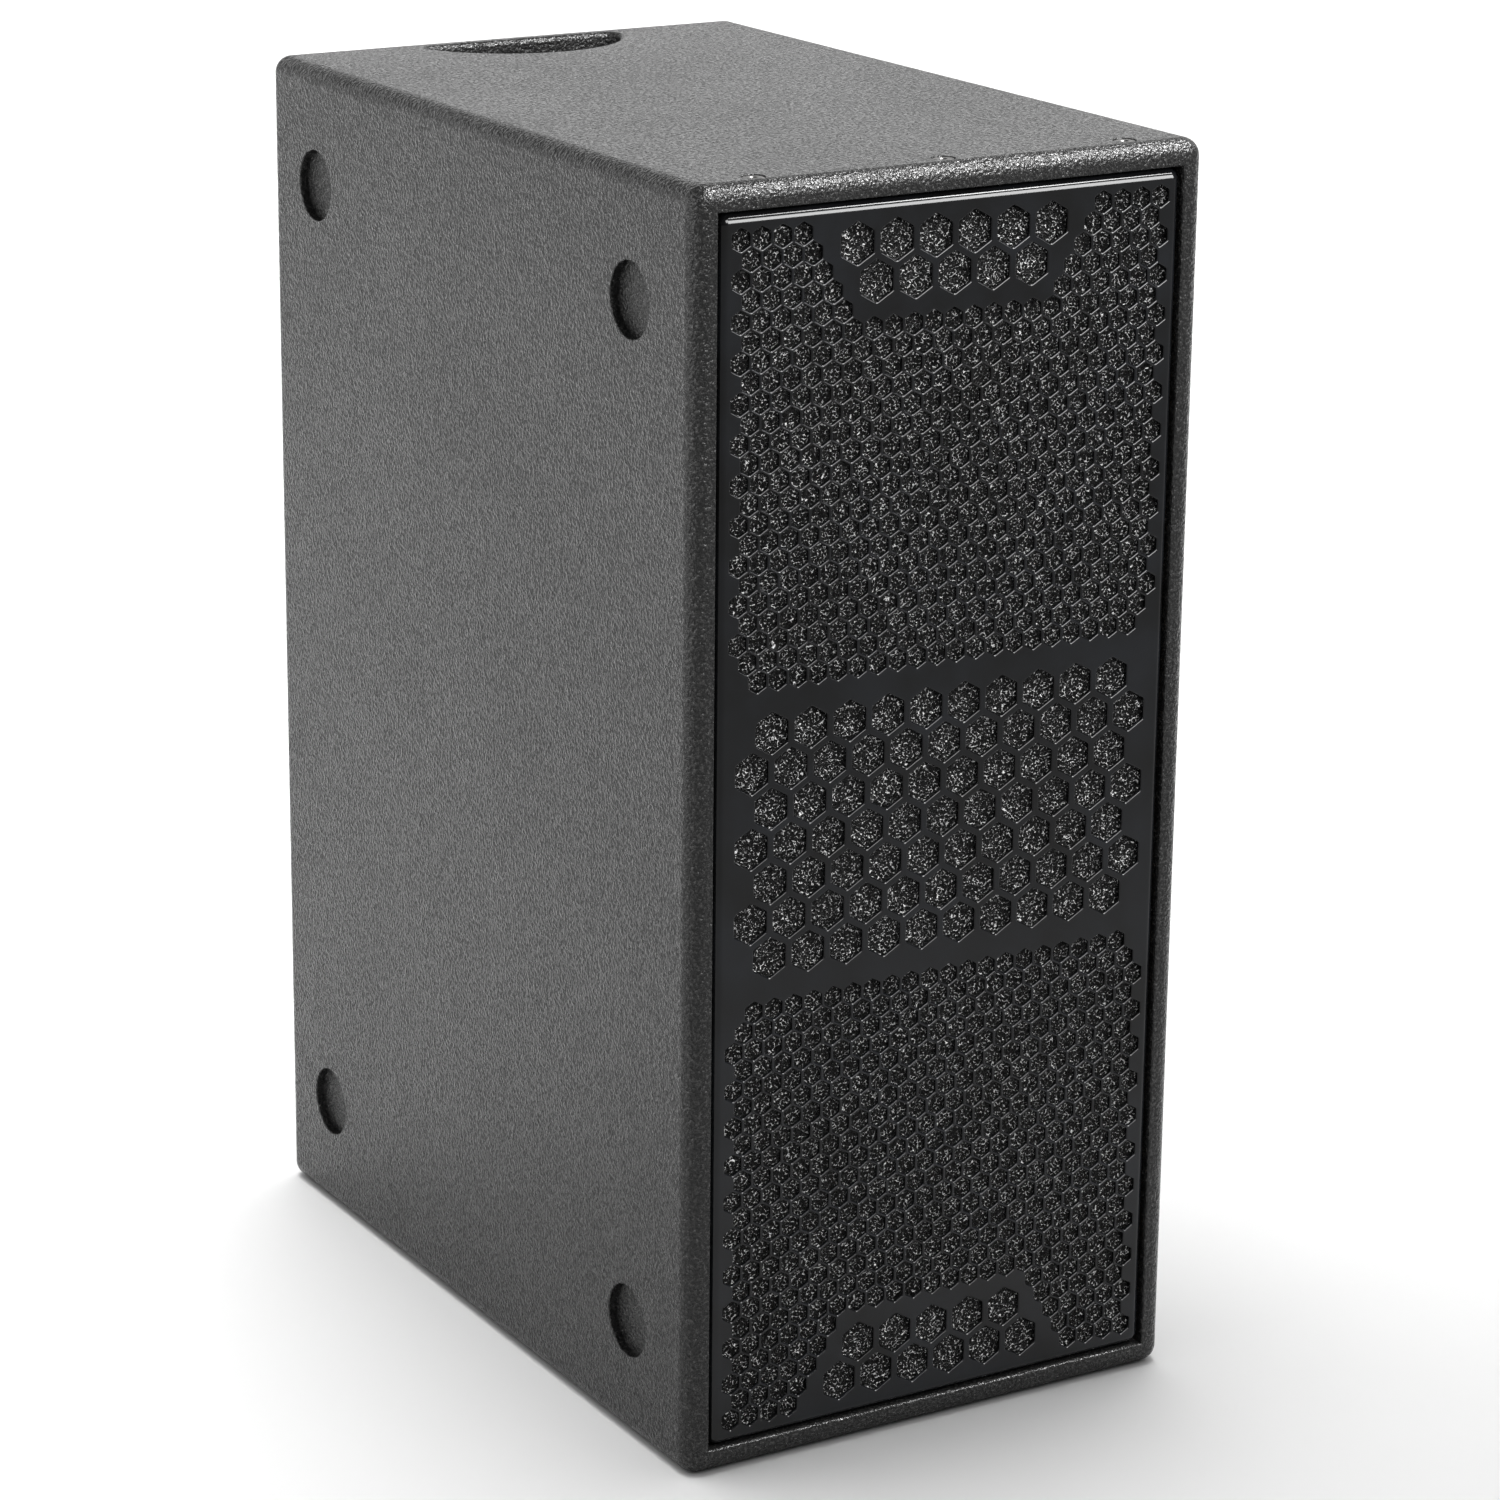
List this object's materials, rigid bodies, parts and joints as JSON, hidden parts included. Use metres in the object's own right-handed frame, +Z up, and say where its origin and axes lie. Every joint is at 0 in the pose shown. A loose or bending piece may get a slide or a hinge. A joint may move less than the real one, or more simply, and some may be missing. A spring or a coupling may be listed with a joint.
{
  "type": "pa speaker cabinet",
  "caption": "Upright rounded plywood bass cabinet with a recessed hexagon-hole steel grille, a D-shaped hand slot on top, stacking recesses and side feet.",
  "frame": {"origin": "centre of the bottom face, on the floor", "axes": "+Z up along the longest side, +X to the right side with the feet, front and grille towards -Y"},
  "size_m": [0.289, 0.444, 0.63],
  "materials": {
    "cabinet_paint": "black textured sprayed coat on birch plywood, satin, fine orange-peel grain",
    "inner_plywood": "bare birch plywood inside the box",
    "black_plastic": "moulded, fine matt texture",
    "grille_paint": "smooth semi-gloss black powder coat",
    "foam": "open-cell acoustic foam with glinting pore edges",
    "dark_screw": "black zinc, worn bright on the edges",
    "rubber": "matt moulded rubber",
    "lead_jacket": "smooth black cable jacket",
    "zinc_steel": "bright zinc plate",
    "basket_paint": "black powder coat on a pressed frame",
    "cone_paper": "black fibrous pulp",
    "spider_cloth": "resin-soaked woven cloth",
    "ferrite": "ground dark ferrite",
    "voice_coil": "copper winding on an aluminium former"
  },
  "bodies": {
    "cabinet": {"side_panel_left": "cabinet_paint", "side_panel_right": "cabinet_paint", "top_panel": "cabinet_paint", "bottom_panel": "cabinet_paint", "rear_panel": "cabinet_paint", "baffle": "inner_plywood", "port_shelf_upper": "inner_plywood", "port_shelf_lower": "inner_plywood", "handle_pocket": "black_plastic", "input_socket_1": "black_plastic", "input_socket_2": "black_plastic", "grille": "grille_paint", "input_plate": "grille_paint", "grille_foam": "foam", "grille_screw_top_1": "dark_screw", "grille_screw_top_2": "dark_screw", "grille_screw_top_3": "dark_screw", "grille_screw_bottom_1": "dark_screw", "grille_screw_bottom_2": "dark_screw", "grille_screw_bottom_3": "dark_screw", "driver_bolt_upper_1": "dark_screw", "driver_bolt_upper_2": "dark_screw", "driver_bolt_upper_3": "dark_screw", "driver_bolt_upper_4": "dark_screw", "driver_bolt_lower_1": "dark_screw", "driver_bolt_lower_2": "dark_screw", "driver_bolt_lower_3": "dark_screw", "driver_bolt_lower_4": "dark_screw", "plate_screw_1": "dark_screw", "plate_screw_2": "dark_screw", "plate_screw_3": "dark_screw", "plate_screw_4": "dark_screw", "foot_1": "rubber", "foot_2": "rubber", "foot_3": "rubber", "foot_4": "rubber", "surround_upper": "rubber", "surround_lower": "rubber", "lead_upper": "lead_jacket", "lead_lower": "lead_jacket", "foot_screw_1": "zinc_steel", "foot_screw_2": "zinc_steel", "foot_screw_3": "zinc_steel", "foot_screw_4": "zinc_steel", "top_plate_upper": "zinc_steel", "back_plate_upper": "zinc_steel", "top_plate_lower": "zinc_steel", "back_plate_lower": "zinc_steel", "basket_upper": "basket_paint", "basket_lower": "basket_paint", "spider_upper": "spider_cloth", "spider_lower": "spider_cloth", "magnet_upper": "ferrite", "magnet_lower": "ferrite"},
    "upper_cone": {"cone_upper": "cone_paper", "dust_cap_upper": "cone_paper", "voice_coil_upper": "voice_coil"},
    "lower_cone": {"cone_lower": "cone_paper", "dust_cap_lower": "cone_paper", "voice_coil_lower": "voice_coil"}
  },
  "joints": [
    {"name": "upper_cone_slide", "type": "slide", "parent": "cabinet", "child": "upper_cone", "axis": [0, -1, 0], "range_m": [-0.005, 0.005], "stiffness_N_per_m": 3000, "deforming": ["surround_upper", "spider_upper"]},
    {"name": "lower_cone_slide", "type": "slide", "parent": "cabinet", "child": "lower_cone", "axis": [0, -1, 0], "range_m": [-0.005, 0.005], "stiffness_N_per_m": 3000, "deforming": ["surround_lower", "spider_lower"]}
  ]
}
